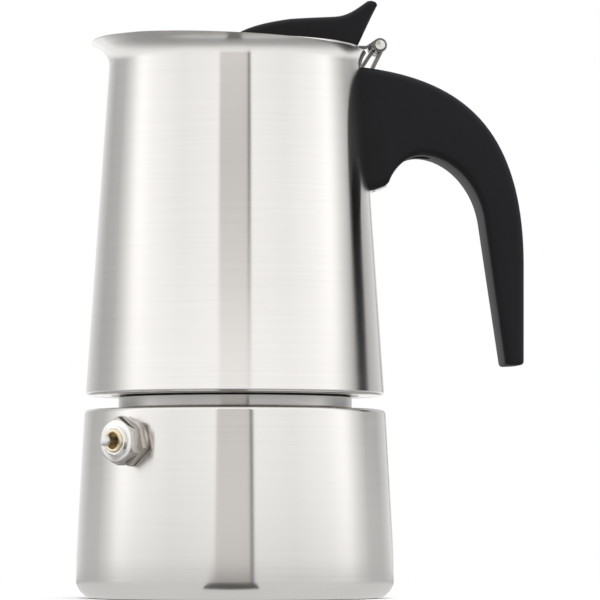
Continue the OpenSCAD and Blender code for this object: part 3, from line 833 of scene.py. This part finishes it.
def floor():
    """A round pale floor that fades into the white of the tent."""
    f = Finish("pale_floor")
    x, y, _ = f.parts(f.point())
    away = (x * x + y * y) ** 0.5
    far = f.ramp([(0.0, 0.0), (0.12, 0.0), (0.42, 1.0)], away)
    grain = f.noise(f.point(), 30, 3.0, 0.5)
    colour = f.between(grain, (0.86, 0.86, 0.855), (0.90, 0.90, 0.895))
    matt = f.node("ShaderNodeBsdfDiffuse", {}, {"Color": colour})
    glow = f.node("ShaderNodeEmission", {}, {"Color": (1, 1, 1, 1), "Strength": 1.0})
    both = f.node("ShaderNodeMixShader", {}, {0: far, 1: matt, 2: glow})
    f.node("ShaderNodeOutputMaterial", {}, {"Surface": both})
    bm = bmesh.new()
    bmesh.ops.create_circle(bm, cap_ends=True, segments=96, radius=STUDIO_R)
    staged("floor", bm, f.data)


def backdrop():
    """A white wall far round the pot, which shows behind it and lights nothing."""
    radius = STUDIO_R - 0.1
    bm = bmesh.new()
    bmesh.ops.create_cone(bm, cap_ends=False, segments=96, radius1=radius, radius2=radius,
                          depth=8, matrix=Matrix.Translation((0, 0, 3.9)))
    staged("backdrop", bm, Finish("backdrop").glow((1, 1, 1, 1)),
           ("glossy", "diffuse", "transmission", "shadow"))


def reflected_card(name, outline, height, shades):
    """A flat card over the floor that only shows in what the steel reflects; in metres.

    Its shades are ramp stops over the distance from the pot, up to one metre.
    """
    f = Finish(name)
    x, y, _ = f.parts(f.point())
    grain = f.noise(f.point(), 12, 3.0, 0.5)
    shade = f.times(f.ramp(shades, (x * x + y * y) ** 0.5), 0.95 + 0.1 * grain)
    bm = bmesh.new()
    bmesh.ops.contextual_create(bm, geom=[bm.verts.new((x, y, height)) for x, y in outline])
    staged(name, bm, f.glow(shade), ("camera", "diffuse", "transmission", "shadow"))


def cards():
    """Glowing cards that stand for a table top in the steel's reflections: pale next to the pot and
    greyer round that with painted shadow, and a dark strip of painted reflection on it.
    """
    ring = [(CARD_R * math.cos(TURN * i / 48), CARD_R * math.sin(TURN * i / 48))
            for i in range(48)]
    # painted shadow: the ring that is greyer beyond the pot stands for a shadowed table, glowing in
    # reflections only
    reflected_card("table_card", ring, 0.0002,
                   [(0.0, 0.70), (0.085, 0.66), (0.12, 0.34), (0.20, 0.36), (0.50, 0.95)])
    a = math.radians(CAMERA_SIDE + GAP_SIDE)
    strip = []
    for away, width, sides in ((0.052, 0.010, (-1, 1)), (CARD_R, 0.17, (1, -1))):
        for side in sides:
            strip.append((away * math.sin(a) + side * width * math.cos(a),
                          -away * math.cos(a) + side * width * math.sin(a)))
    # painted reflection: a dark strip that runs towards the camera, glowing in reflections only
    reflected_card("strip_card", strip, 0.0006,
                   [(0.0, 0.06), (0.085, 0.08), (0.12, 0.30), (0.20, 0.36), (0.45, 0.95)])


def softbox(name, place, size, power):
    """A square lamp at place, in metres, that points at the pot and shows in no reflection."""
    data = bpy.data.lights.new(name, "AREA")
    data.size = size
    data.energy = power
    made = bpy.data.objects.new(name, data)
    made.location = place
    made.visible_glossy = False
    aim = Vector((0, 0, 0.09)) - Vector(place)
    made.rotation_mode = "QUATERNION"
    made.rotation_quaternion = aim.to_track_quat("-Z", "Y")
    bpy.context.scene.collection.objects.link(made)


camera()
light_tent()
floor()
backdrop()
cards()
softbox("top_light", (0.1, -0.2, 1.3), 0.9, 9)
softbox("right_light", (1.3, -0.9, 0.7), 0.7, 6)
boiler()
valve()
seal()
jug_shell()
jug_inside()
jug_fittings()
handle()
lid()
knob()
bpy.context.scene.view_settings.view_transform = "Standard"
